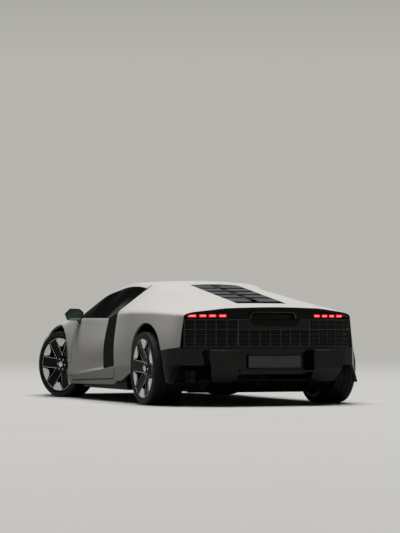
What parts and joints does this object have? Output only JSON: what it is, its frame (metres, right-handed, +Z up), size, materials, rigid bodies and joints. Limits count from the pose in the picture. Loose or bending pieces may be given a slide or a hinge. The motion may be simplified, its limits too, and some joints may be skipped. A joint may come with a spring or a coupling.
{
  "type": "mid-engined supercar",
  "caption": "Low mid-engined two-seat sports car with opening doors, front and engine lids, steering and free wheels, a louvred rear deck and a gridded black tail.",
  "frame": {"origin": "on the ground under the middle of the car's length and width", "axes": "+X to the car's left, -Y towards the nose, +Z up"},
  "size_m": [2.2, 4.494, 1.1769],
  "materials": {
    "paint": "satin warm grey metallic paint",
    "black_trim": "satin black composite trim",
    "black_gloss": "gloss black panel",
    "black_plastic": "matte black plastic",
    "dark_glass": "dark tinted glass",
    "lamp_clear": "clear lamp cover",
    "lamp_red": "lit red lamp",
    "dark_metal": "black coated metal",
    "louvre_metal": "satin dark purple-grey paint",
    "plate": "blank dark plate",
    "leather": "dark grained leather",
    "cabin_trim": "soft black trim",
    "engine_metal": "cast alloy",
    "suspension_metal": "dark coated metal",
    "wheel_black": "gloss black alloy with bare pads",
    "tyre": "black rubber"
  },
  "bodies": {
    "root": {"front_bumper": "paint", "front_intakes": "black_plastic", "front_splitter": "black_trim", "headlamps": "lamp_clear", "fender_left": "paint", "fender_right": "paint", "windscreen": "dark_glass", "roof": "paint", "rear_deck": "paint", "quarter_left": "paint", "quarter_right": "paint", "side_skirts": "paint", "rear_fascia": "black_gloss", "tail_lamps": "lamp_red", "exhaust_outlet": "dark_metal", "rear_bumper": "black_trim", "number_plate": "plate", "diffuser": "black_trim", "floor_tub": "black_trim", "bulkhead": "black_plastic", "seats": "leather", "dashboard": "cabin_trim", "steering_wheel": "cabin_trim", "engine_block": "engine_metal", "front_axle": "suspension_metal", "rear_axle": "suspension_metal", "arch_liners": "black_plastic"},
    "door_left": {"door_left": "paint", "side_blade_left": "black_trim", "door_glass_left": "dark_glass", "mirror_left": "black_gloss"},
    "door_right": {"door_right": "paint", "side_blade_right": "black_trim", "door_glass_right": "dark_glass", "mirror_right": "black_gloss"},
    "bonnet": {"bonnet": "paint"},
    "engine_lid": {"engine_cover": "black_trim", "louvres": "louvre_metal"},
    "knuckle_left": {"knuckle_left": "suspension_metal"},
    "knuckle_right": {"knuckle_right": "suspension_metal"},
    "wheel_front_left": {"rim_front_left": "wheel_black", "tyre_front_left": "tyre"},
    "wheel_front_right": {"rim_front_right": "wheel_black", "tyre_front_right": "tyre"},
    "wheel_rear_left": {"rim_rear_left": "wheel_black", "tyre_rear_left": "tyre"},
    "wheel_rear_right": {"rim_rear_right": "wheel_black", "tyre_rear_right": "tyre"}
  },
  "joints": [
    {"name": "door_left_hinge", "type": "hinge", "parent": "root", "child": "door_left", "pos_m": [0.99, -0.717, 0.5], "axis": [0, 0, -1], "range_deg": [0, 62]},
    {"name": "door_right_hinge", "type": "hinge", "parent": "root", "child": "door_right", "pos_m": [-0.99, -0.717, 0.5], "axis": [0, 0, 1], "range_deg": [0, 62]},
    {"name": "bonnet_hinge", "type": "hinge", "parent": "root", "child": "bonnet", "pos_m": [0, -1.023, 0.834], "axis": [-1, 0, 0], "range_deg": [0, 50]},
    {"name": "engine_lid_hinge", "type": "hinge", "parent": "root", "child": "engine_lid", "pos_m": [0, 0.696, 1.139], "axis": [1, 0, 0], "range_deg": [0, 45]},
    {"name": "steer_left", "type": "hinge", "parent": "root", "child": "knuckle_left", "pos_m": [0.85, -1.1685, 0.3375], "axis": [0, 0, 1], "range_deg": [-54.7, 11.3]},
    {"name": "steer_right", "type": "hinge", "parent": "root", "child": "knuckle_right", "pos_m": [-0.85, -1.1685, 0.3375], "axis": [0, 0, 1], "range_deg": [-54.7, 11.3]},
    {"name": "spin_front_left", "type": "hinge", "parent": "knuckle_left", "child": "wheel_front_left", "pos_m": [0.85, -1.1685, 0.3375], "axis": [0.9291, 0.3697, 0], "continuous": true},
    {"name": "spin_front_right", "type": "hinge", "parent": "knuckle_right", "child": "wheel_front_right", "pos_m": [-0.85, -1.1685, 0.3375], "axis": [0.9291, 0.3697, 0], "continuous": true},
    {"name": "spin_rear_left", "type": "hinge", "parent": "root", "child": "wheel_rear_left", "pos_m": [0.8726, 1.4485, 0.3375], "axis": [1, 0, 0], "continuous": true},
    {"name": "spin_rear_right", "type": "hinge", "parent": "root", "child": "wheel_rear_right", "pos_m": [-0.8726, 1.4485, 0.3375], "axis": [1, 0, 0], "continuous": true}
  ],
  "couplings": [
    {"joint": "steer_right", "follows": "steer_left", "ratio": 1}
  ]
}
